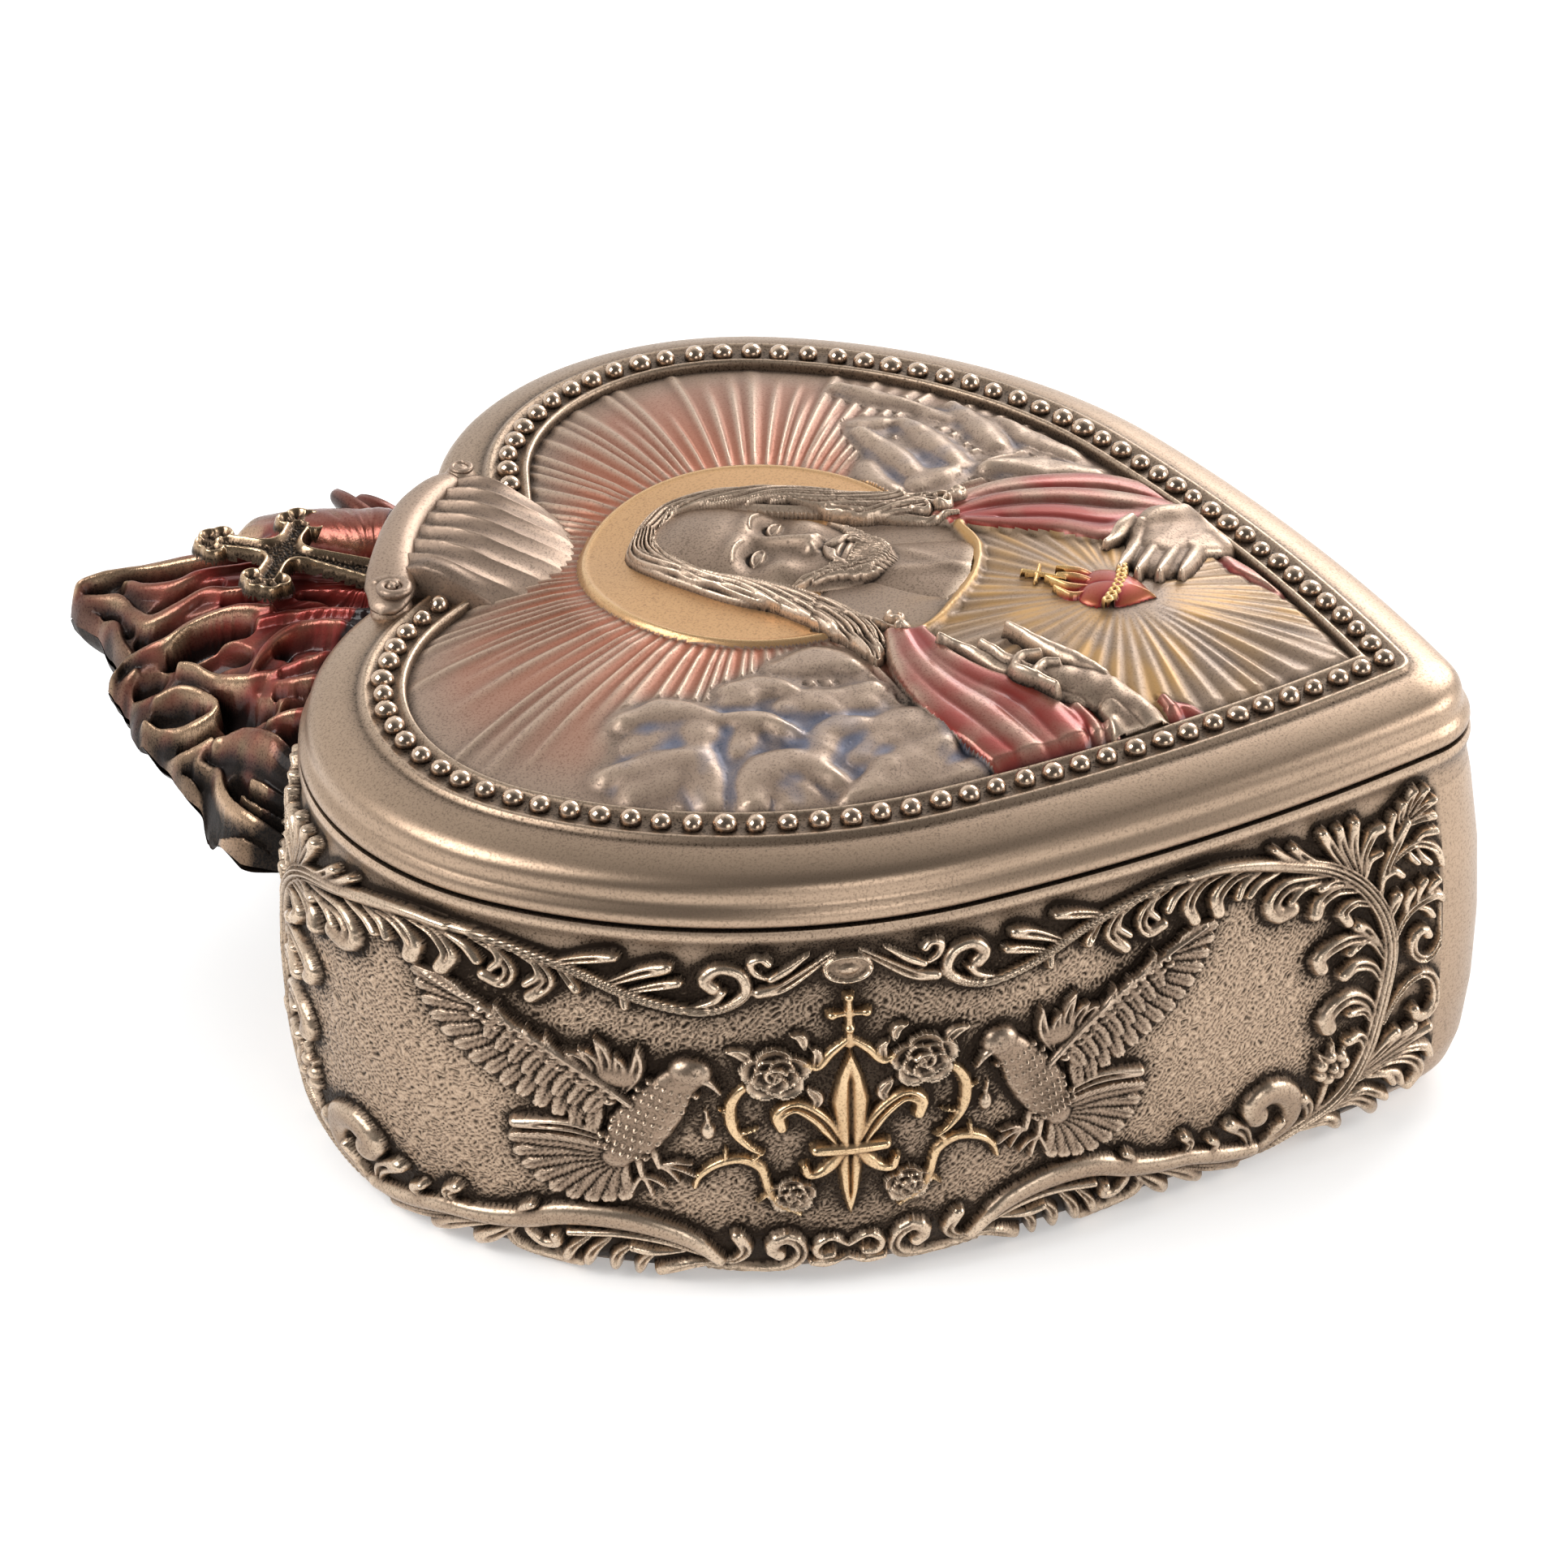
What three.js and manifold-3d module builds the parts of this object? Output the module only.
// Heart trinket box: a cast resin box with a bronze finish, 146 mm long with its flame crest.
// The lid lifts off. Lengths are in millimetres, +Z is up, +Y runs from the heart's tip to its notch.
// The frame's origin is the middle of the footprint, on the table.
import * as THREE from "three";
import { mergeVertices } from "three/addons/utils/BufferGeometryUtils.js";
import Module from "manifold-3d";

const wasm = await Module();
wasm.setup();

// Heart outline, followed along the middle of the bead row.
// Half of it is four tangent arcs from the tip to the notch. Turns and angles are in degrees.
const tipHalfAngle = 38.4;
const flankRadius = 210.7;
const flankTurn = 13.8;
const sideRadius = 49.6;
const sideTurn = 47.5;
const lobeRadius = 23.9;
const lobeTurn = 98.5;
const crownRadius = 300;
const halfTurn = 180;

// Base casting
const baseHeight = 40.4;
const wallBulge = 10.1; // how far the widest part of the wall stands outside the bead row
const cavityOffset = 4; // the cavity's wall stands this far outside the bead row
const cavityDraft = 1; // the cavity is this much narrower at the floor
const floorThickness = 3.6;

// Felt pad under the base
const padThickness = 1.3;
const padShow = 0.6; // how far the pad stands below the foot
const padInset = 2.6; // from the foot's edge to the pad's edge

// Lid casting
const seamGap = 0.3;
const lidHeight = 6.2; // from the lid's bottom edge to the bead band
const lidOverhang = 8.55; // how far the lid's widest part stands outside the bead row
const ribDepth = 2.6;
const ribThickness = 2;
const ribClearance = 0.4; // between the locating rib and the cavity's wall
const pocketDepth = 2.3; // hollow under the lid, above its bottom edge
const bandInset = 2.1; // from the bead row to the inner edge of the bead band
const panelRecess = 1.6;
const panelThickness = 0.8;

// Bead row
const beadPitch = 3;
const beadRadius = 1.1;
const beadNeck = 0.45; // half the string's width between two beads
const beadStop = 9; // the row stops this far from the middle of the notch

// Clearance that neighbouring castings keep
const seat = 0.3;
const weld = 1e-4; // points closer than this are one point

// Picture on the lid: how far each layer stands up
const haloRise = 0.6;
const haloGap = 1; // between the halo and the robe
const robeRise = 1.6;
const cloudRise = 1.5;
const cloudBlend = 0.45;
const mantleRise = 2.1;
const headRise = 4.2;
const hairRise = 2.4;
const handRise = 1.4;
const heartRise = 1.8;
const pictureBevel = 0.5;

// Pleated band and scroll bar over the notch
const bandLength = 15.5;
const bandWidth = 19;
const bandThickness = 1.2;
const bandCrown = 2.1;
const pleatCount = 8;
const pleatDepth = 0.5;
const bandTaperShare = 0.25; // how much narrower the band is at its inner end
const bandStartShare = 0.2; // where along its arch the band leaves the bar
const barHalfSpan = 12.6;
const barBow = 3.4;
const barRadius = 1.7;
const barReach = 9.6; // from the bead row's notch out to the bar's ends
const barLift = 1.1; // the bar's axis stands this far above its volutes' seats
const voluteRadius = 1.6;

// Flame crest on the base, beyond the notch
const crestReach = 37; // from the wall to the flame's tip
const crestGap = 1.7; // across the heart, from the flank relief to the crest
const crestCoreHeight = 19;
const crestTopRise = 1.5; // above the lid's bottom edge
const tongueRadius = 4.4;
const tongueSideCount = 5;

// Cross on the flame
const crossGap = 1.2; // from the lid to the cross's foot, under the bar
const crossStem = 15.2; // from the cross's foot to its middle
const crossHead = 9;
const crossSpan = 15.6;
const crossArm = 2.6;
const crossThickness = 1.3;
const crossFoilRadius = 2;

// Relief on the flanks
const tipClear = 5; // along the outline, from the heart's tip to the relief
const notchClear = 29.1; // along the outline, from the relief to the heart's notch
const stemWidth = 2.4;
const leafWidth = 3.4;
const leafRise = 1.5;
const doveRise = 1.7;
const wingRise = 1.2;
const emblemRise = 1;
const roseRadius = 3;
const roseRise = 1.8;

// How finely curves are cut
const arcStepCounts = [5, 6, 9, 2];
const tipStepCount = 4;
const notchStepCount = 3;

const rad = THREE.MathUtils.degToRad;
const at = (x, y) => new THREE.Vector2(x, y);

// The arcs of the left half, each with its centre, radius and the angles where it starts and ends.
function outlineArcs() {
  const arcs = [];
  const turns = [
    [flankRadius, flankTurn],
    [sideRadius, sideTurn],
    [lobeRadius, lobeTurn],
    [crownRadius, halfTurn - tipHalfAngle - flankTurn - sideTurn - lobeTurn],
  ];
  let place = at(0, 0);
  let angle = rad(halfTurn + halfTurn / 2 - tipHalfAngle);
  for (const [radius, turn] of turns) {
    const spoke = at(Math.cos(angle), Math.sin(angle));
    const centre = place.clone().addScaledVector(spoke, -radius);
    const end = angle - rad(turn);
    arcs.push({ centre, radius, start: angle, end });
    place = centre.clone().add(at(radius * Math.cos(end), radius * Math.sin(end)));
    angle = end;
  }
  return arcs;
}
const arcs = outlineArcs();

// Where an arc, moved out by an offset, meets the heart's middle line.
function middleAngle(arc, offset, lower) {
  const angle = Math.acos(-arc.centre.x / (arc.radius + offset));
  return lower ? 2 * Math.PI - angle : angle;
}

// The notch of the bead row, on the middle line.
function notchPlace() {
  const crown = arcs[arcs.length - 1];
  const angle = middleAngle(crown, 0, false);
  return at(0, crown.centre.y + crown.radius * Math.sin(angle));
}
const notch = notchPlace();

// Points of the left half at an offset outside the bead row, from the tip to the notch.
// An outward offset is rounded at the tip, an inward one at the notch.
function halfOutline(offset) {
  const points = [];
  const arc = (centre, radius, from, to, steps, skipFirst) => {
    for (let i = skipFirst ? 1 : 0; i <= steps; i++) {
      const a = from + ((to - from) * i) / steps;
      points.push(at(centre.x + radius * Math.cos(a), centre.y + radius * Math.sin(a)));
    }
  };
  const straightDown = rad(halfTurn + halfTurn / 2);
  if (offset > 0) arc(at(0, 0), offset, straightDown, arcs[0].start, tipStepCount, false);
  arcs.forEach((a, i) => {
    const first = i === 0 && offset <= 0;
    const last = i === arcs.length - 1;
    const from = first ? middleAngle(a, offset, true) : a.start;
    const to = last && offset >= 0 ? middleAngle(a, offset, false) : a.end;
    const end = last && offset < 0 ? middleAngle(a, 0, false) : to;
    arc(a.centre, a.radius + offset, from, end, arcStepCounts[i], !first);
  });
  if (offset < 0) {
    const from = middleAngle(arcs[arcs.length - 1], 0, false);
    arc(notch, offset, from, rad(halfTurn / 2), notchStepCount, true);
  }
  points[0].x = 0;
  points[points.length - 1].x = 0;
  return points;
}

// The whole outline, closed, counterclockwise seen from above.
function fullOutline(offset) {
  const half = halfOutline(offset);
  const mirrored = half.slice(1, -1).map((p) => at(-p.x, p.y));
  return [half[0], ...mirrored, half[half.length - 1], ...half.slice(1, -1).reverse()];
}

// Place and outward direction at a distance along the left half of the bead row.
function outlineAt(distance) {
  let left = distance;
  for (const a of arcs) {
    const length = a.radius * (a.start - a.end);
    if (left <= length || a === arcs[arcs.length - 1]) {
      const angle = a.start - left / a.radius;
      const out = at(Math.cos(angle), Math.sin(angle));
      return { place: a.centre.clone().addScaledVector(out, a.radius), out };
    }
    left -= length;
  }
  return null;
}

// Length of the left half of the bead row.
function halfLength() {
  const crown = arcs[arcs.length - 1];
  const whole = arcs.slice(0, -1).reduce((sum, a) => sum + a.radius * (a.start - a.end), 0);
  return whole + crown.radius * (crown.start - middleAngle(crown, 0, false));
}
const outlineLength = halfLength();
const flankEnd = outlineLength - notchClear;
const flankCentre = (tipClear + flankEnd) / 2;
const flankHalfLength = (flankEnd - tipClear) / 2;
const heartHalfWidth = -Math.min(...halfOutline(0).map((p) => p.x));
const heartLength = Math.max(...halfOutline(0).map((p) => p.y));

// Heights from the table
const foot = padShow;
const baseTop = foot + baseHeight;
const lidBottom = baseTop + seamGap;
const bandTop = lidBottom + lidHeight;
const panelBottom = bandTop - panelRecess + seat;
const panelTop = panelBottom + panelThickness;
const pictureFloor = panelTop + seat;

// A closed solid from rings of equal count, stacked upwards and counterclockwise, with flat ends.
function solidFromRings(rings) {
  const count = rings[0].length;
  const faces = [];
  for (let r = 0; r + 1 < rings.length; r++) {
    for (let i = 0; i < count; i++) {
      const j = (i + 1) % count;
      const low = r * count;
      const high = low + count;
      faces.push([low + i, low + j, high + j], [low + i, high + j, high + i]);
    }
  }
  const flat = rings[0].map((p) => at(p.x, p.y));
  const top = (rings.length - 1) * count;
  for (const [a, b, c] of THREE.ShapeUtils.triangulateShape(flat, [])) {
    faces.push([a, c, b], [top + a, top + b, top + c]);
  }
  const places = rings.flat().flatMap((p) => [p.x, p.y, p.z]);
  const geometry = new THREE.BufferGeometry();
  geometry.setAttribute("position", new THREE.Float32BufferAttribute(places, 3));
  return geometry.setIndex(faces.flat());
}

// A closed solid through rings that each go round the same way, with fan ends.
function loft(rings) {
  const count = rings[0].length;
  const faces = [];
  for (let r = 0; r + 1 < rings.length; r++) {
    for (let i = 0; i < count; i++) {
      const j = (i + 1) % count;
      const low = r * count;
      const high = low + count;
      faces.push([low + i, low + j, high + j], [low + i, high + j, high + i]);
    }
  }
  const ends = [rings[0], rings[rings.length - 1]];
  const middles = ends.map((ring) => {
    const sum = ring.reduce((all, p) => all.add(p), new THREE.Vector3());
    return sum.divideScalar(count);
  });
  const first = rings.length * count;
  const top = (rings.length - 1) * count;
  for (let i = 0; i < count; i++) {
    const j = (i + 1) % count;
    faces.push([first, j, i], [first + 1, top + i, top + j]);
  }
  const places = [...rings.flat(), ...middles].flatMap((p) => [p.x, p.y, p.z]);
  const geometry = new THREE.BufferGeometry();
  geometry.setAttribute("position", new THREE.Float32BufferAttribute(places, 3));
  return geometry.setIndex(faces.flat());
}

// A heart-shaped solid whose profile is a list of [offset, height], from the bottom up.
function heartSolid(profile) {
  const ring = ([offset, z]) => fullOutline(offset).map((p) => new THREE.Vector3(p.x, p.y, z));
  return solidFromRings(profile.map(ring));
}

// A flat-bottomed solid from an outline of points, whose top edge is drawn in by a bevel.
function plate(outline, bottom, rise, bevel = 0) {
  const points = THREE.ShapeUtils.isClockWise(outline) ? outline.slice().reverse() : outline;
  const ring = (inset, z) =>
    points.map((p, i) => {
      const before = points[(i + points.length - 1) % points.length];
      const after = points[(i + 1) % points.length];
      const run = after.clone().sub(before).normalize();
      return new THREE.Vector3(p.x - inset * run.y, p.y + inset * run.x, z);
    });
  const shoulder = bottom + rise - bevel;
  const rings = [ring(0, bottom), ring(0, shoulder), ring(bevel, bottom + rise)];
  return solidFromRings(bevel > 0 ? rings : [rings[0], rings[2]]);
}

// A dome with a flat bottom, stretched to its half sizes.
function dome(halfX, halfY, rise, sides, rings) {
  const profile = [at(0, 0)];
  for (let i = 0; i <= rings; i++) {
    const a = rad((halfTurn / 2) * (i / rings));
    profile.push(i === rings ? at(0, 1) : at(Math.cos(a), Math.sin(a)));
  }
  const lathe = new THREE.LatheGeometry(profile, sides).rotateX(rad(halfTurn / 2));
  return lathe.scale(halfX, halfY, rise);
}

// A leaf: a ridged blade along a curve, as wide as its width shares say, that ends in a point
const bladeShares = [0.35, 0.8, 1, 0.75, 0.05];
const bladeSectionShares = [[-1, 0], [0, 1], [1, 0]];
const bladeEndShare = 1 / 3; // a blade is never lower than this share of its rise
function blade(middles, width, bottom, rise, widthShares = bladeShares) {
  const curve = new THREE.SplineCurve(middles);
  const rings = widthShares.map((share, i) => {
    const t = i / (widthShares.length - 1);
    const run = curve.getTangent(t);
    const across = at(run.y, -run.x).multiplyScalar((share * width) / 2);
    const middle = curve.getPoint(t);
    return bladeSectionShares.map(([side, up]) => {
      const p = middle.clone().addScaledVector(across, side);
      return new THREE.Vector3(p.x, p.y, bottom + up * rise * Math.max(share, bladeEndShare));
    });
  });
  return loft(rings);
}

// The middle line of a leaf that sets off in one direction and bends on its way, in degrees
function leafLine(start, length, direction, bend) {
  const steps = bladeShares.length - 1;
  const points = [start.clone()];
  for (let i = 0; i < steps; i++) {
    const a = rad(direction + (bend * (i + 0.5)) / steps);
    const last = points[points.length - 1];
    points.push(last.clone().add(at(Math.cos(a), Math.sin(a)).multiplyScalar(length / steps)));
  }
  return points;
}

// A tube that tapers along a curve, with one radius for each point.
function taperedTube(points, radii, sides) {
  const curve = new THREE.CatmullRomCurve3(points);
  const rings = radii.map((radius, r) => {
    const t = r / (radii.length - 1);
    const run = curve.getTangent(t);
    const side = new THREE.Vector3(0, 0, 1).cross(run).normalize();
    const up = run.clone().cross(side).normalize();
    const middle = curve.getPoint(t);
    return Array.from({ length: sides }, (_, i) => {
      const a = (2 * Math.PI * i) / sides;
      const across = side.clone().multiplyScalar(radius * Math.cos(a));
      return middle.clone().add(across).addScaledVector(up, radius * Math.sin(a));
    });
  });
  return loft(rings);
}

// Solids for joining and cutting
function solid(geometry) {
  const bare = geometry.clone();
  bare.deleteAttribute("normal");
  bare.deleteAttribute("uv");
  const merged = mergeVertices(bare, weld);
  const kept = [];
  const index = merged.index.array;
  for (let i = 0; i < index.length; i += 3) {
    const [a, b, c] = [index[i], index[i + 1], index[i + 2]];
    if (a !== b && b !== c && a !== c) kept.push(a, b, c);
  }
  const triVerts = new Uint32Array(kept);
  const vertProperties = merged.attributes.position.array;
  return new wasm.Manifold(new wasm.Mesh({ numProp: 3, vertProperties, triVerts }));
}

function geometryOf(made) {
  const mesh = made.getMesh();
  const places = new Float32Array(mesh.numVert * 3);
  for (let i = 0; i < mesh.numVert; i++) {
    places.set(mesh.vertProperties.subarray(i * mesh.numProp, i * mesh.numProp + 3), i * 3);
  }
  const geometry = new THREE.BufferGeometry();
  geometry.setAttribute("position", new THREE.BufferAttribute(places, 3));
  geometry.setIndex(new THREE.BufferAttribute(mesh.triVerts, 1));
  return geometry;
}

const join = (geometries) => geometryOf(geometries.map(solid).reduce((all, next) => all.add(next)));

// Finishes
const finish = (color, metalness, roughness) =>
  new THREE.MeshStandardMaterial({ color, metalness, roughness });
const bronze = finish(0x8f7a68, 0.85, 0.42);
const darkBronze = finish(0x5e5044, 0.8, 0.5);
const brightBronze = finish(0xa89078, 0.9, 0.35);
const gold = finish(0xc2a169, 0.8, 0.38);
const redLacquer = finish(0x7d2c28, 0.45, 0.35);
const paintedPanel = finish(0x9a7c6c, 0.5, 0.5);
const felt = finish(0x2c2622, 0, 0.95);

const root = new THREE.Group();
const baseGroup = new THREE.Group();
const lidGroup = new THREE.Group();
root.add(baseGroup, lidGroup);

function piece(group, name, geometry, material) {
  const mesh = new THREE.Mesh(geometry, material);
  mesh.name = name;
  group.add(mesh);
}

// Base wall: [share of the bulge, share of the base's height] from the foot up to the lip
const wallShares = [
  [0.585, 0],
  [0.78, 0.052],
  [0.89, 0.13],
  [0.97, 0.28],
  [1, 0.47],
  [0.97, 0.67],
  [0.87, 0.87],
  [0.785, 0.955],
  [0.805, 0.985],
  [0.77, 1],
];
const wallProfile = wallShares.map(([out, up]) => [out * wallBulge, foot + up * baseHeight]);

// How far the wall stands outside the bead row at a height.
function wallOffset(z) {
  for (let i = 1; i < wallProfile.length; i++) {
    const [lowOut, lowZ] = wallProfile[i - 1];
    const [highOut, highZ] = wallProfile[i];
    if (z <= highZ) return lowOut + ((highOut - lowOut) * (z - lowZ)) / (highZ - lowZ);
  }
  return wallProfile[wallProfile.length - 1][0];
}

const footOffset = wallProfile[0][0];
const padOffset = footOffset - padInset;

function baseShell() {
  const cavity = heartSolid([
    [cavityOffset - cavityDraft, foot + floorThickness],
    [cavityOffset, baseTop + seamGap],
  ]);
  const recess = heartSolid([
    [padOffset + seat, foot - seamGap],
    [padOffset + seat, padThickness + seat],
  ]);
  return geometryOf(solid(heartSolid(wallProfile)).subtract(solid(cavity)).subtract(solid(recess)));
}
piece(baseGroup, "base_shell", baseShell(), bronze);
piece(baseGroup, "felt_pad", heartSolid([[padOffset, 0], [padOffset, padThickness]]), felt);

// Lid: [share of the overhang, share of the lid's height] from the bottom edge up to the raised ridge
const lidShares = [
  [0.955, 0],
  [1, 0.1],
  [0.95, 0.35],
  [0.8, 0.63],
  [0.6, 0.83],
  [0.35, 0.9],
  [0.32, 1.03],
  [0.27, 1.06],
  [0.235, 1],
];
const lidProfile = lidShares.map(([out, up]) => [out * lidOverhang, lidBottom + up * lidHeight]);

function lidShell() {
  const ribOutside = cavityOffset - ribClearance;
  const ribInside = ribOutside - ribThickness;
  const ribBottom = lidBottom - ribDepth;
  const rib = heartSolid([[ribOutside, ribBottom], [ribOutside, lidBottom + pocketDepth / 2]]);
  const pocket = heartSolid([[ribInside, ribBottom - seat], [ribInside, lidBottom + pocketDepth]]);
  const recess = heartSolid([
    [-bandInset, bandTop - panelRecess],
    [-bandInset, bandTop + lidHeight],
  ]);
  const body = solid(heartSolid(lidProfile)).add(solid(rib));
  return geometryOf(body.subtract(solid(pocket)).subtract(solid(recess)));
}
piece(lidGroup, "lid_shell", lidShell(), bronze);

const panelOffset = -bandInset - seat;
const panel = heartSolid([[panelOffset, panelBottom], [panelOffset, panelTop]]);
piece(lidGroup, "picture_panel", panel, paintedPanel);

// Bead row: a string of beads from one end beside the notch, round the tip, to the other end.
// Its rings swell at each bead and draw in halfway to the next one.
const beadSectionShares = [[-1, 0], [-0.6, 0.85], [0.6, 0.85], [1, 0]];
function beadRow() {
  const count = Math.floor((outlineLength - beadStop) / beadPitch);
  const rings = [];
  for (let step = -2 * count; step <= 2 * count; step++) {
    const { place, out } = outlineAt((Math.abs(step) * beadPitch) / 2);
    const side = step < 0 ? 1 : -1;
    const away = step === 0 ? at(0, -1) : at(side * out.x, out.y);
    const radius = step % 2 === 0 ? beadRadius : beadNeck;
    const middle = at(side * place.x, place.y);
    const ring = beadSectionShares.map(([across, up]) => {
      const p = middle.clone().addScaledVector(away, across * radius);
      return new THREE.Vector3(p.x, p.y, bandTop + seat + up * radius);
    });
    rings.push(ring);
  }
  return loft(rings);
}
piece(lidGroup, "bead_row", beadRow(), brightBronze);

// Picture: places are shares of the heart's half width, from its middle, and of its length, from the tip
const onPicture = ([x, y]) => at(x * heartHalfWidth, y * heartLength);
const picturePlate = (shares, bottom, rise) => plate(shares.map(onPicture), bottom, rise, pictureBevel);

// The room over the panel, inside the bead band: reliefs are trimmed to it.
const pictureRoom = heartSolid([
  [panelOffset, panelBottom],
  [panelOffset, bandTop + lidHeight],
]);
const trimmed = (geometry) => geometryOf(solid(geometry).intersect(solid(pictureRoom)));

const haloCentreShares = [0.04, 0.675];
const robeTopShare = 0.475; // of the heart's length
function halo() {
  const centre = onPicture(haloCentreShares);
  const radius = centre.y - robeTopShare * heartLength - haloGap;
  const disc = new THREE.CylinderGeometry(radius, radius, haloRise, 32).rotateX(rad(halfTurn / 2));
  return disc.translate(centre.x, centre.y, pictureFloor + haloRise / 2);
}
piece(lidGroup, "halo", halo(), gold);

// Bust: robe with its neck, hair, and head with its beard
const robeShares = [
  [-0.02, 0.07], [0.3, 0.2], [0.33, 0.33], [0.3, 0.44], [0.2, robeTopShare], [-0.12, robeTopShare],
  [-0.22, 0.42], [-0.2, 0.34], [-0.16, 0.22],
];
piece(lidGroup, "robe", trimmed(picturePlate(robeShares, pictureFloor, robeRise)), bronze);

const headFloor = pictureFloor + haloRise + seat;
const headCentreShares = [0.04, 0.665];
const headHalfShares = [0.14, 0.2]; // of the heart's half width
const beardDropShare = 0.2;
const beardWidthShare = 0.7; // of the head
const beardRiseShare = 0.75;
function head() {
  const [halfX, halfY] = headHalfShares.map((share) => share * heartHalfWidth);
  const centre = onPicture(headCentreShares);
  const skull = dome(halfX, halfY, headRise, 12, 3).translate(centre.x, centre.y, headFloor);
  const beard = dome(halfX * beardWidthShare, halfY * beardWidthShare, headRise * beardRiseShare, 10, 2);
  const drop = beardDropShare * heartHalfWidth;
  return join([skull, beard.translate(centre.x, centre.y - drop, headFloor)]);
}
piece(lidGroup, "head", head(), darkBronze);

const hairShares = [
  [-0.16, 0.68], [-0.11, 0.765], [0.04, 0.805], [0.18, 0.765], [0.23, 0.68], [0.23, 0.6],
  [0.29, 0.54], [0.26, 0.5], [0.2, 0.53], [0.2, 0.57], [0.215, 0.66], [0.16, 0.74],
  [0.04, 0.775], [-0.08, 0.74], [-0.135, 0.66], [-0.14, 0.56], [-0.22, 0.51], [-0.31, 0.52],
  [-0.24, 0.57], [-0.17, 0.62],
];
piece(lidGroup, "hair", picturePlate(hairShares, headFloor, hairRise), darkBronze);

const leftMantleShares = [
  [-0.25, 0.5], [-0.3, 0.49], [-0.58, 0.3], [-0.4, 0.17], [-0.3, 0.12], [-0.2, 0.19],
  [-0.235, 0.33], [-0.255, 0.42],
];
const rightMantleShares = [
  [0.33, 0.5], [0.42, 0.46], [0.52, 0.4], [0.56, 0.32], [0.48, 0.24], [0.38, 0.21],
  [0.365, 0.33], [0.345, 0.44],
];
const leftMantle = trimmed(picturePlate(leftMantleShares, pictureFloor, mantleRise));
const rightMantle = trimmed(picturePlate(rightMantleShares, pictureFloor, mantleRise));
piece(lidGroup, "left_mantle", leftMantle, redLacquer);
piece(lidGroup, "right_mantle", rightMantle, redLacquer);

const handFloor = pictureFloor + mantleRise + seat;
const blessingHandShares = [
  [-0.42, 0.2], [-0.36, 0.18], [-0.26, 0.23], [-0.2, 0.3], [-0.17, 0.38], [-0.2, 0.4],
  [-0.23, 0.36], [-0.22, 0.44], [-0.25, 0.46], [-0.28, 0.39], [-0.3, 0.33], [-0.32, 0.26],
];
const heartHandShares = [
  [0.4, 0.23], [0.44, 0.28], [0.36, 0.325], [0.2, 0.33], [0.14, 0.31], [0.17, 0.27], [0.22, 0.22],
];
const blessingHand = trimmed(picturePlate(blessingHandShares, handFloor, handRise));
const heartHand = trimmed(picturePlate(heartHandShares, handFloor, handRise));
piece(lidGroup, "blessing_hand", blessingHand, darkBronze);
piece(lidGroup, "heart_hand", heartHand, darkBronze);

// Flaming heart on the breast: the heart outline of the box, small, with flames and a cross above it
const smallHeartFloor = pictureFloor + robeRise + seat;
const smallHeartPlaceShares = [0.02, 0.235];
const smallHeartShare = 0.085; // of the box's heart
const flameLengthShare = 0.13; // of the heart's half width
const flameTurns = [-25, 0, 25];
function flamingHeart() {
  const place = onPicture(smallHeartPlaceShares);
  const outline = fullOutline(0).filter((p, i) => i % 2 === 0);
  const points = outline.map((p) => p.clone().multiplyScalar(smallHeartShare).add(place));
  const parts = [plate(points, smallHeartFloor, heartRise, pictureBevel)];
  const top = place.clone().add(at(0, notch.y * smallHeartShare));
  const length = flameLengthShare * heartHalfWidth;
  for (const turn of flameTurns) {
    const line = leafLine(top.clone().sub(at(0, length / 4)), length, halfTurn / 2 + turn, -turn);
    parts.push(blade(line, length / 3, smallHeartFloor, heartRise));
  }
  return join(parts);
}

piece(lidGroup, "flaming_heart", flamingHeart(), redLacquer);

// Clouds: overlapping domes. Each is a place in shares and a half size in shares of the half width.
const leftCloudShares = [
  [-0.78, 0.65, 0.1], [-0.66, 0.6, 0.11], [-0.8, 0.54, 0.1], [-0.66, 0.5, 0.12],
  [-0.52, 0.58, 0.1], [-0.68, 0.4, 0.11], [-0.53, 0.47, 0.1], [-0.44, 0.55, 0.07],
];
const rightCloudShares = [
  [0.49, 0.55, 0.08], [0.58, 0.58, 0.09], [0.72, 0.6, 0.08], [0.62, 0.5, 0.12],
  [0.74, 0.53, 0.08], [0.66, 0.43, 0.09], [0.5, 0.49, 0.08], [0.65, 0.52, 0.13],
];
function cloud(shares) {
  const puffs = shares.map(([x, y, size]) => {
    const centre = onPicture([x, y]);
    const half = size * heartHalfWidth;
    const puff = dome(half * (1 + cloudBlend), half, cloudRise, 8, 1);
    return puff.translate(centre.x, centre.y, pictureFloor);
  });
  return trimmed(join(puffs));
}
piece(lidGroup, "left_cloud", cloud(leftCloudShares), paintedPanel);
piece(lidGroup, "right_cloud", cloud(rightCloudShares), paintedPanel);

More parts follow.
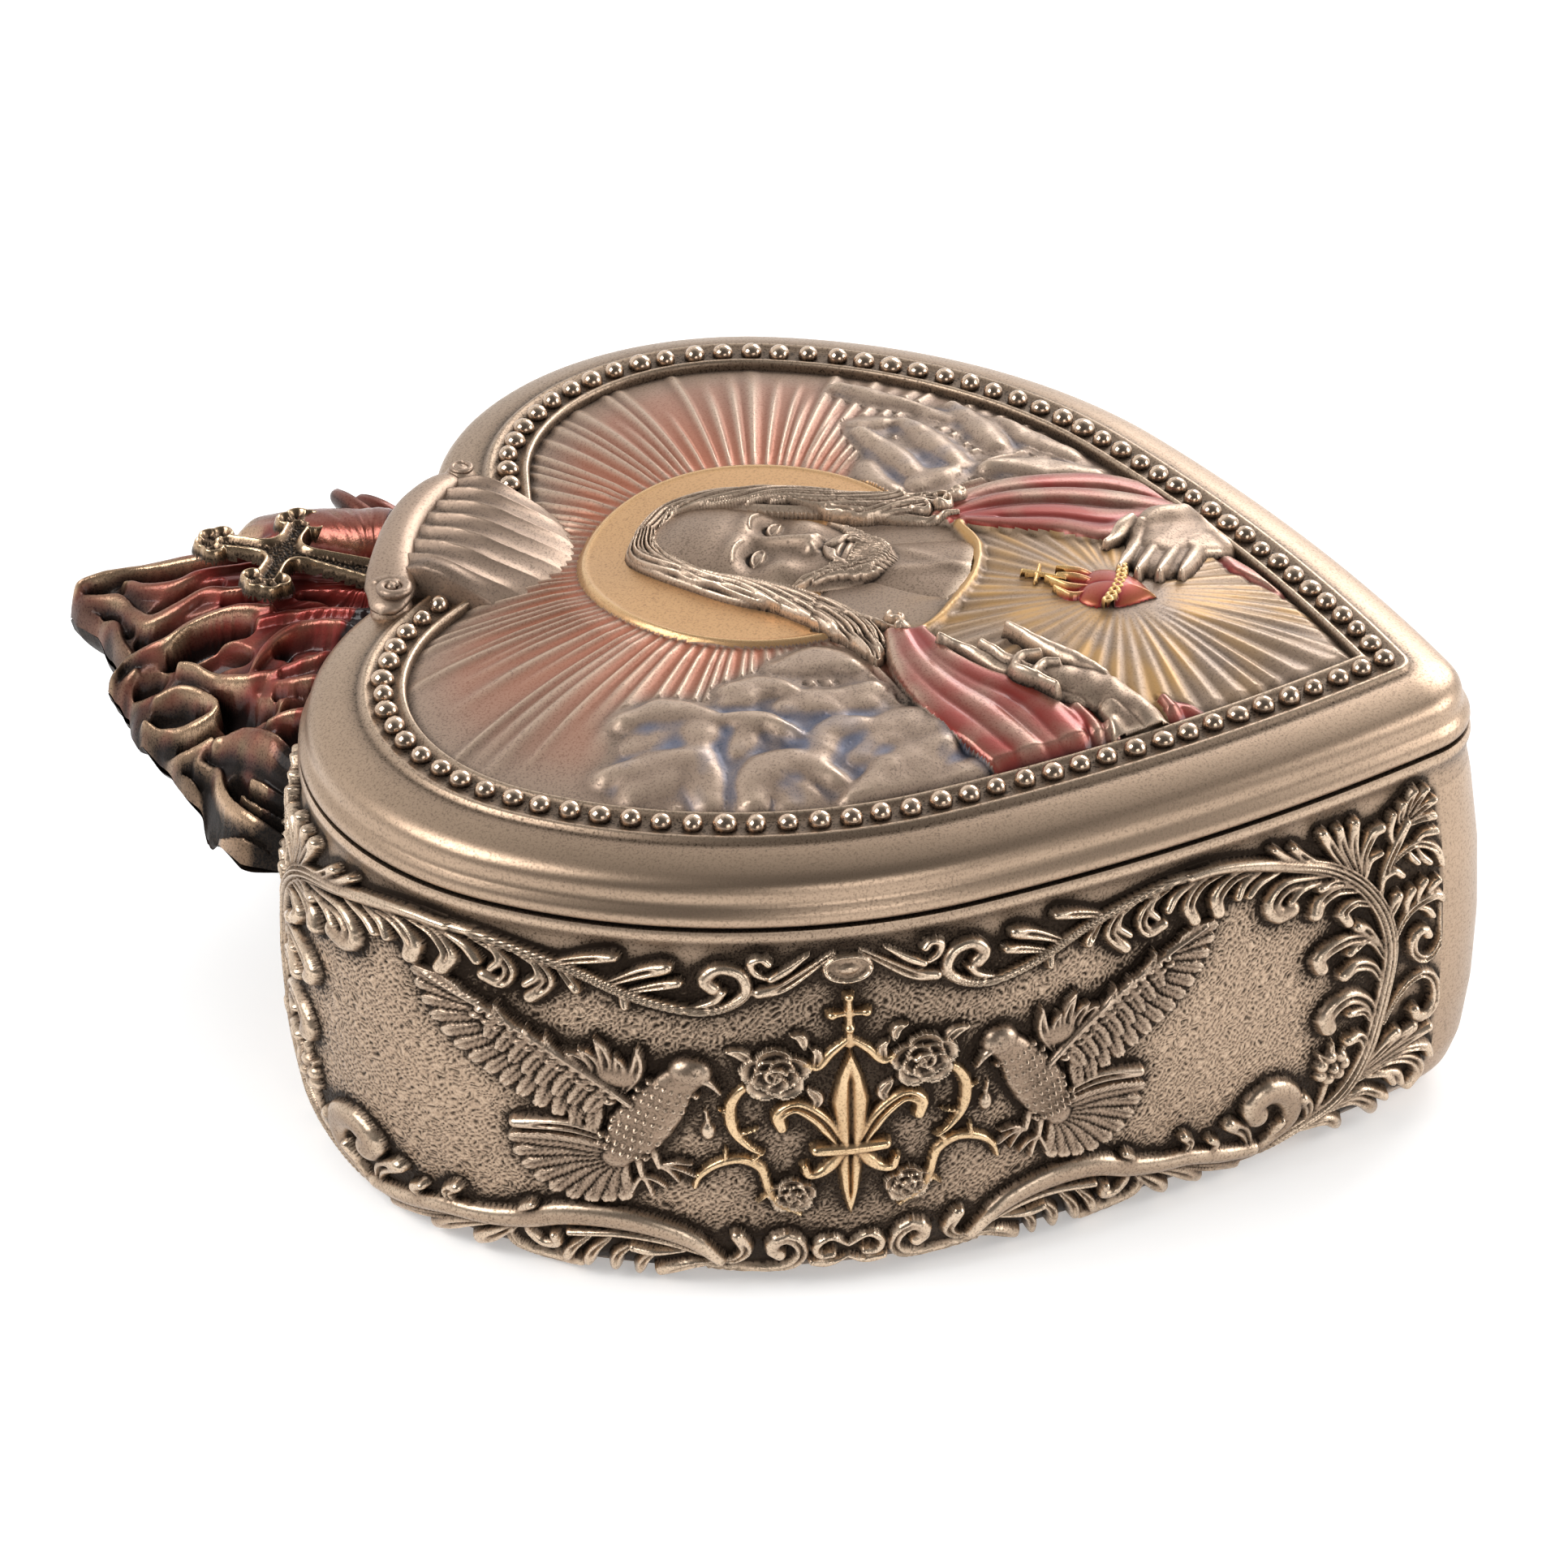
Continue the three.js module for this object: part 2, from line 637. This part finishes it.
// Pleated band: a fluted strip that arches over the bead band at the notch and down to the picture
const ridgeTop = Math.max(...lidProfile.map(([, z]) => z));
const bandFloor = ridgeTop + seat;
const shoulderUpShare = 0.9; // the flat of the lid outside its ridge, of the lid's height
const voluteFloor = lidBottom + shoulderUpShare * lidHeight + seat;
const barY = notch.y + barReach;
function pleatedBand() {
  const steps = pleatCount * 2;
  const rows = 4;
  const width = (v) => bandWidth * (1 - bandTaperShare * v);
  const place = (i, v, lift) => {
    const across = (i / steps - 0.5) * width(v);
    const bow = barBow * (1 - (across / barHalfSpan) ** 2);
    const y = barY - barRadius - seat - v * bandLength + bow;
    const ridge = i % 2 === 0 ? 0 : pleatDepth;
    const arch = bandCrown * Math.sin(Math.PI * (bandStartShare + (1 - bandStartShare) * v));
    return new THREE.Vector3(across, y, bandFloor + arch + lift + (lift > 0 ? ridge : 0));
  };
  const rings = [];
  for (let r = 0; r <= rows; r++) {
    const v = r / rows;
    const under = [];
    const over = [];
    for (let i = 0; i <= steps; i++) {
      under.push(place(i, v, 0));
      over.push(place(i, v, bandThickness));
    }
    rings.push([...under, ...over.reverse()]);
  }
  return loft(rings);
}

// Scroll bar: a bowed bar between two volutes, which stand on the lid on both sides of the notch
const barStationShares = [-1, -0.55, 0, 0.55, 1];
const barTaperShares = [0.75, 1, 1, 1, 0.75];
function scrollBar() {
  const z = voluteFloor + barLift;
  const points = barStationShares.map(
    (t) => new THREE.Vector3(t * barHalfSpan, barY + barBow * (1 - t * t), z),
  );
  const radii = barTaperShares.map((share) => share * barRadius);
  const parts = [taperedTube(points, radii, 8)];
  for (const side of [-1, 1]) {
    const volute = dome(voluteRadius, voluteRadius, barRadius + barLift, 10, 2);
    parts.push(volute.translate(side * barHalfSpan, barY - voluteRadius / 2, voluteFloor));
  }
  const lidRoom = heartSolid(lidProfile.map(([out, z]) => [out, z + seat]));
  return geometryOf(solid(join(parts)).subtract(solid(lidRoom)));
}
piece(lidGroup, "scroll_bar", scrollBar(), bronze);
piece(lidGroup, "pleated_band", pleatedBand(), bronze);

// Flank relief is drawn flat, then laid round the wall.
// Places are shares: along, of the flank's half length from its middle towards the tip;
// up, of the base's height from its foot.
const onFlank = ([along, up]) => at(along * flankHalfLength, foot + up * baseHeight);
const flip = (points, side) => (side < 0 ? points.map((p) => at(-p.x, p.y)) : points);

// Lays a flat relief on the left wall (side -1) or the right wall (side 1).
function wrap(geometry, side) {
  const flat = geometry.clone();
  const place = flat.getAttribute("position");
  for (let i = 0; i < place.count; i++) {
    const station = outlineAt(flankCentre - place.getX(i));
    const z = place.getY(i);
    const reach = wallOffset(z) + seat + place.getZ(i);
    const p = station.place.addScaledVector(station.out, reach);
    place.setXYZ(i, -side * p.x, p.y, z);
  }
  if (side > 0) {
    const index = flat.index.array;
    for (let i = 0; i < index.length; i += 3) [index[i + 1], index[i + 2]] = [index[i + 2], index[i + 1]];
  }
  return flat;
}

// A branch: its stem's places, and leaves as [share along the stem, turn from it, length, bend].
// A leaf's length is a share of the base's height. A positive turn is to the left of the stem's run.
const sprayBranch = {
  stemShares: [[0.82, 0.09], [0.93, 0.14], [0.99, 0.28], [0.97, 0.46], [0.92, 0.66], [0.85, 0.86]],
  leafShares: [
    [0.12, 50, 0.2, 60], [0.2, -45, 0.14, 20], [0.36, 50, 0.22, 70], [0.4, -50, 0.22, -60],
    [0.55, 45, 0.24, 70], [0.56, -45, 0.24, -60], [0.74, 45, 0.24, 60], [0.78, -30, 0.24, -20],
    [0.9, -10, 0.2, 0],
  ],
};
const swagBranch = {
  stemShares: [[0.82, 0.91], [0.66, 0.95], [0.46, 0.9], [0.32, 0.84], [0.22, 0.87], [0.25, 0.93]],
  leafShares: [[0.1, 40, 0.2, 50], [0.26, 40, 0.16, 50], [0.42, 35, 0.17, 60], [0.55, 35, 0.14, 60]],
};
const cartoucheBranch = {
  stemShares: [[0.2, 0.93], [0.14, 0.9], [0.06, 0.86], [0, 0.89]],
  leafShares: [[0.2, 60, 0.1, 60], [0.6, -60, 0.1, -60]],
};
const footBranch = {
  stemShares: [[0.75, 0.07], [0.6, 0.07], [0.42, 0.16], [0.28, 0.12], [0.16, 0.06], [0.1, 0.1]],
  leafShares: [[0.08, -50, 0.2, -80], [0.22, -45, 0.17, -80], [0.42, -30, 0.14, -80], [0.5, 30, 0.11, 60]],
};
const stemTaperShares = [0.5, 0.9, 1, 0.9, 0.8, 0.4];

function branch({ stemShares, leafShares }, end) {
  const stem = flip(stemShares.map(onFlank), end);
  const curve = new THREE.SplineCurve(stem);
  const leaves = leafShares.map(([along, turn, length, bend]) => {
    const run = curve.getTangent(along);
    const heading = THREE.MathUtils.radToDeg(run.angle()) + end * turn;
    const line = leafLine(curve.getPoint(along), length * baseHeight, heading, end * bend);
    return blade(line, leafWidth, 0, leafRise);
  });
  return [blade(stem, stemWidth, 0, leafRise, stemTaperShares), ...leaves];
}

// Doves: a body with its head and beak, a spread wing and a fanned tail
const doveBodyShares = [
  [0.18, 0.6], [0.2, 0.645], [0.235, 0.64], [0.26, 0.6], [0.31, 0.53], [0.35, 0.45],
  [0.36, 0.37], [0.32, 0.34], [0.27, 0.38], [0.235, 0.48], [0.22, 0.57],
];
const doveWingShares = [
  [0.27, 0.56], [0.28, 0.66], [0.36, 0.7], [0.46, 0.74], [0.595, 0.785], [0.585, 0.73],
  [0.555, 0.68], [0.52, 0.62], [0.47, 0.57], [0.41, 0.52], [0.34, 0.49], [0.29, 0.5],
];
const doveTailShares = [
  [0.31, 0.42], [0.38, 0.46], [0.45, 0.43], [0.445, 0.36], [0.41, 0.3], [0.36, 0.285],
  [0.31, 0.31], [0.3, 0.36],
];
// Lily in the middle of the flank: petals from its waist, as [direction, length, bend]
const lilyWaistShares = [0, 0.38];
const lilyPetalShares = [
  [90, 0.38, 0], [50, 0.28, 70], [130, 0.28, -70], [270, 0.2, 0], [235, 0.16, -50], [305, 0.16, 50],
];
const rosePlaceShares = [0.115, 0.6];

const flankBevelShare = 1 / 3; // of a plate's rise
const flankPlate = (shares, end, rise) =>
  plate(flip(shares.map(onFlank), end), 0, rise, rise * flankBevelShare);

// Relief keeps clear of the wall where its flat faces would cut across a curve.
const wallRoom = solid(
  heartSolid(wallShares.map(([out, up]) => [out * wallBulge + seat / 2, foot + up * baseHeight])),
);
const clearOfWall = (geometry) => geometryOf(solid(geometry).subtract(wallRoom));

// The relief of one wall: a centre ornament, and a mirrored set towards the tip (1) and the notch (-1)
function flankRelief(side) {
  const sideName = side < 0 ? "left" : "right";
  const add = (name, geometries, material) =>
    piece(baseGroup, sideName + "_" + name, clearOfWall(wrap(join(geometries), side)), material);
  for (const end of [1, -1]) {
    const endName = end > 0 ? "tip" : "notch";
    add(endName + "_spray", branch(sprayBranch, end), bronze);
    add(endName + "_swag", branch(swagBranch, end), bronze);
    add(endName + "_foot_scroll", branch(footBranch, end), bronze);
    const body = flankPlate(doveBodyShares, end, doveRise);
    const wing = flankPlate(doveWingShares, end, wingRise);
    const tail = flankPlate(doveTailShares, end, wingRise);
    add(endName + "_dove", [body, wing, tail], brightBronze);
    const rosePlace = flip([onFlank(rosePlaceShares)], end)[0];
    const rose = dome(roseRadius, roseRadius, roseRise, 8, 2).translate(rosePlace.x, rosePlace.y, 0);
    add(endName + "_rose", [rose], bronze);
  }
  add("cartouche", [...branch(cartoucheBranch, 1), ...branch(cartoucheBranch, -1)], bronze);
  const waist = onFlank(lilyWaistShares);
  const petals = lilyPetalShares.map(([direction, length, bend]) =>
    blade(leafLine(waist, length * baseHeight, direction, bend), leafWidth, 0, emblemRise),
  );
  add("lily", petals, gold);
}
flankRelief(-1);
flankRelief(1);

// Flame crest: a core that grows out of the wall at the notch, and tongues that lick outwards from it.
// Its places are shares: across, of the half width; along, of the reach; up, of the core's height.
const wallAtNotch = notch.y + wallBulge;
const reliefEnd = outlineAt(flankEnd);
const crestHalfWidth = -reliefEnd.place.x - wallBulge * reliefEnd.out.x - crestGap;
const crestTop = lidBottom + crestTopRise;
const crestFoot = crestTop - crestCoreHeight;
// Core sections: [along, half width, bottom, top]
const crestCoreShares = [
  [-0.3, 0.35, 0.1, 1],
  [-0.05, 0.8, 0.05, 1],
  [0.15, 0.84, 0.08, 1],
  [0.32, 0.68, 0.12, 1],
  [0.5, 0.5, 0.2, 0.98],
  [0.68, 0.33, 0.28, 0.84],
  [0.85, 0.15, 0.4, 0.7],
  [0.98, 0.03, 0.52, 0.62],
];
const coreSectionShares = [[-1, 0.5], [-0.6, 0], [0.6, 0], [1, 0.5], [0.62, 1], [-0.62, 1]];
// Tongues: root and end as [across, along, up], then the root's thickness
const tongueShares = [
  [0.05, 0.35, 0.65, 0, 1, 0.58, 1],
  [0.25, 0.3, 0.5, 0.41, 0.8, 0.47, 1],
  [0.4, 0.2, 0.5, 0.8, 0.6, 0.47, 1],
  [0.5, 0.15, 0.45, 1.04, 0.38, 0.37, 0.95],
  [0.55, 0.12, 0.4, 1.1, 0.24, 0.3, 0.8],
  [0.3, 0.1, 0.85, 0.42, 0.55, 0.86, 0.6],
  [0.5, 0.1, 0.8, 0.78, 0.36, 0.78, 0.6],
  [0.2, 0.2, 0.3, 0.2, 0.66, 0.24, 0.8],
  [0.5, 0.15, 0.3, 0.62, 0.42, 0.18, 0.8],
];
const tongueThicknessShares = [1, 0.95, 0.75, 0.45, 0.12];
const swayShare = 0.06; // how far a tongue sways, of the crest's half width

function crestPlace(across, along, up) {
  const y = wallAtNotch + along * crestReach;
  return new THREE.Vector3(across * crestHalfWidth, y, crestFoot + up * crestCoreHeight);
}

function crestCore() {
  const sections = crestCoreShares.map(([along, half, low, high]) =>
    coreSectionShares.map(([side, up]) => crestPlace(side * half, along, low + up * (high - low))),
  );
  return loft(sections.reverse());
}

function tongue(shares, side) {
  const [rootAcross, rootAlong, rootUp, endAcross, endAlong, endUp, thickness] = shares;
  const points = [0, 1 / 3, 2 / 3, 1].map((t) => {
    const sway = swayShare * Math.sin(2 * Math.PI * t);
    const across = rootAcross + (endAcross - rootAcross) * t + sway;
    const along = rootAlong + (endAlong - rootAlong) * t;
    return crestPlace(side * across, along, rootUp + (endUp - rootUp) * t);
  });
  const radii = tongueThicknessShares.map((share) => share * thickness * tongueRadius);
  return taperedTube(points, radii, tongueSideCount);
}

function flameCrest() {
  let crest = solid(crestCore());
  for (const shares of tongueShares) {
    for (const side of [-1, 1]) crest = crest.add(solid(tongue(shares, side)));
  }
  const lidRoom = heartSolid([
    [lidOverhang + seat, lidBottom - 2 * seamGap],
    [lidOverhang + seat, bandTop + lidHeight],
  ]);
  return geometryOf(crest.subtract(wallRoom).subtract(solid(lidRoom)));
}
piece(baseGroup, "flame_crest", flameCrest(), redLacquer);

// Cross on the flame: a stem and arms that flare, with three foils at the head and at each arm's end
const crossFloor = crestTop + seat;
const crossFootY = notch.y + lidOverhang + crossGap;
const crossTaperShares = [0.9, 0.8, 0.75, 0.85, 1.1];
const foilTurns = [-90, 0, 90];
function crestCross() {
  const middle = at(0, crossFootY + crossStem);
  const arms = [
    [0, crossSpan / 2],
    [90, crossHead],
    [180, crossSpan / 2],
    [270, crossStem],
  ];
  const parts = [];
  for (const [direction, length] of arms) {
    const line = leafLine(middle, length, direction, 0);
    parts.push(blade(line, crossArm, crossFloor, crossThickness, crossTaperShares));
    if (direction === 270) continue;
    const end = line[line.length - 2];
    for (const turn of foilTurns) {
      const ahead = rad(direction + turn);
      const foil = dome(crossFoilRadius, crossFoilRadius, crossThickness, 8, 1);
      const x = end.x + (Math.cos(ahead) * crossFoilRadius) / 2;
      const y = end.y + (Math.sin(ahead) * crossFoilRadius) / 2;
      parts.push(foil.translate(x, y, crossFloor));
    }
  }
  return join(parts);
}
piece(baseGroup, "crest_cross", crestCross(), gold);

// The frame's origin is the middle of the footprint.
root.updateMatrixWorld(true);
const box = new THREE.Box3().setFromObject(root);
const middle = box.getCenter(new THREE.Vector3());
root.position.set(-middle.x, -middle.y, -box.min.z);
root.updateMatrixWorld(true);
export default root;
